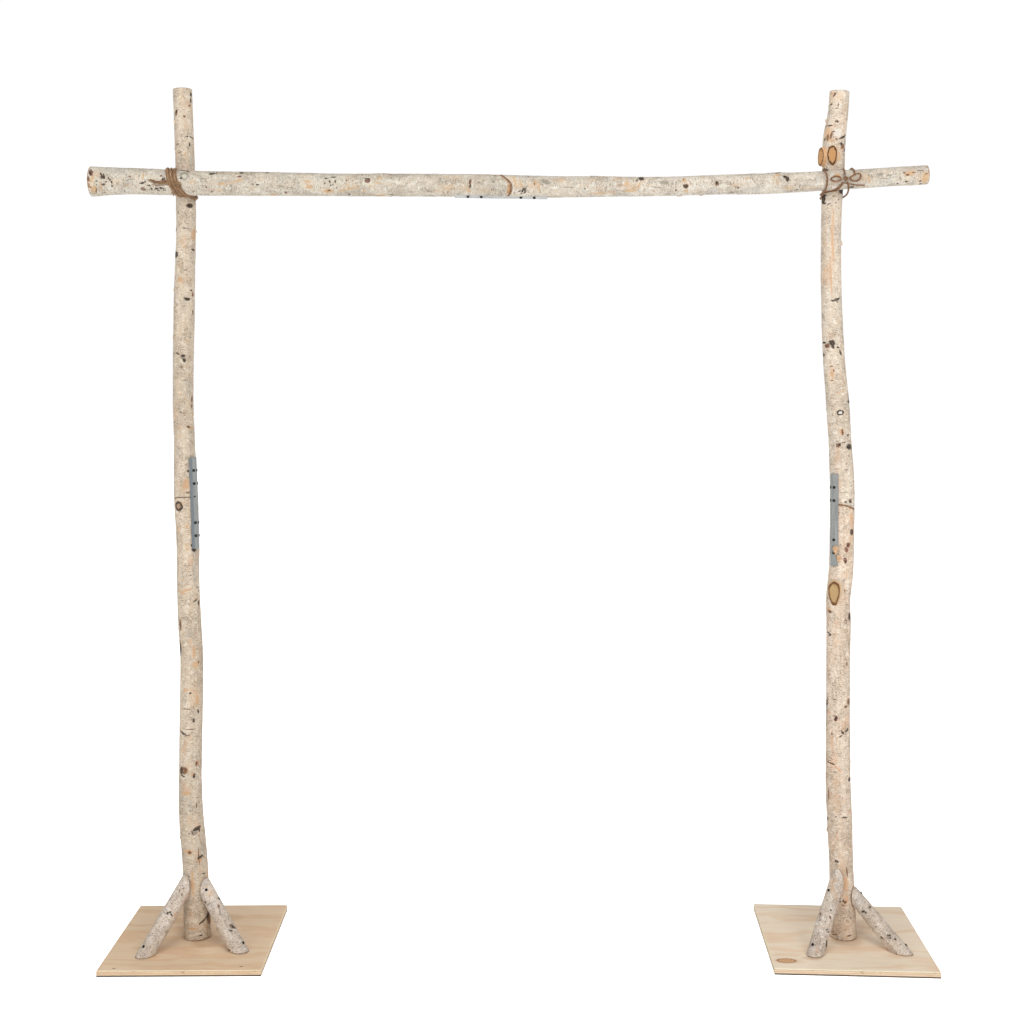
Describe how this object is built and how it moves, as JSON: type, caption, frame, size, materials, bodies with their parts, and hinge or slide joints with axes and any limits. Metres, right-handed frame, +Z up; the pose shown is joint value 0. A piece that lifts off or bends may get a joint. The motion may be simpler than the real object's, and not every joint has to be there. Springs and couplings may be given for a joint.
{
  "type": "birch pole wedding arch",
  "caption": "Free-standing birch pole wedding arch: spliced posts on braced square plywood boards, and a spliced crossbar lashed across their fronts.",
  "frame": {"origin": "on the floor, in the middle of the arch's outline", "axes": "+Z up, +X to the right seen from the front, -Y towards the front, where the crossbar lies"},
  "size_m": [2.421, 0.4814, 2.5069],
  "materials": {
    "birch_bark": "cream-white peeling birch bark with dark lenticels and knots",
    "birch_plywood": "raw sanded plywood with plain grain",
    "grey_steel": "dull grey galvanised steel",
    "jute_twine": "rough brown twisted twine",
    "black_screw": "black phosphate screws",
    "cut_wood": "sawn and pruned bare wood"
  },
  "bodies": {
    "root": {"left_base_board": "birch_plywood", "right_base_board": "birch_plywood", "left_post_lower": "birch_bark", "left_post_upper": "birch_bark", "right_post_lower": "birch_bark", "right_post_upper": "birch_bark", "crossbar_left_half": "birch_bark", "crossbar_right_half": "birch_bark", "left_post_splice_angle": "grey_steel", "right_post_splice_angle": "grey_steel", "crossbar_splice_angle": "grey_steel", "left_post_brace_left": "birch_bark", "left_post_brace_right": "birch_bark", "left_post_brace_back": "birch_bark", "right_post_brace_left": "birch_bark", "right_post_brace_right": "birch_bark", "right_post_brace_back": "birch_bark", "left_lashing_wrap_1": "jute_twine", "left_lashing_wrap_2": "jute_twine", "left_lashing_wrap_3": "jute_twine", "right_lashing_upper_turn": "jute_twine", "right_lashing_lower_turn": "jute_twine", "right_lashing_knot": "jute_twine", "right_bow_left_loop": "jute_twine", "right_bow_right_loop": "jute_twine"}
  },
  "joints": []
}
